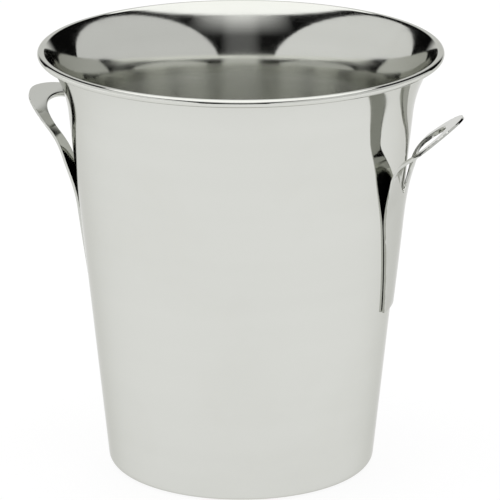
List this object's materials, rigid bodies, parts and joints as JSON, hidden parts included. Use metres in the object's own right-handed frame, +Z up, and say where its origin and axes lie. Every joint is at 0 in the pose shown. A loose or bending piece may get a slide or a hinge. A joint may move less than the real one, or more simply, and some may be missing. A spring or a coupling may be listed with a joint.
{
  "type": "champagne bucket",
  "caption": "Tall tapered wine-cooling bucket in mirror-polished sheet steel, with a flared mouth, a rolled lip and flat loop handles spot-welded at the sides.",
  "frame": {"origin": "bottom centre of the base, on the surface the bucket stands on", "axes": "+Z up along the bucket's axis, +X through the middle of the right handle, +Y towards the back"},
  "size_m": [0.2259, 0.205, 0.2185],
  "materials": {
    "shell_steel": "mirror polished outside, fine brushed inside",
    "handle_steel": "mirror polished",
    "weld_steel": "fused, matt grey"
  },
  "bodies": {
    "root": {"bucket_shell": "shell_steel", "handle_right": "handle_steel", "handle_left": "handle_steel", "weld_right_low": "weld_steel", "weld_right_mid": "weld_steel", "weld_right_high": "weld_steel", "weld_left_low": "weld_steel", "weld_left_mid": "weld_steel", "weld_left_high": "weld_steel"}
  },
  "joints": []
}
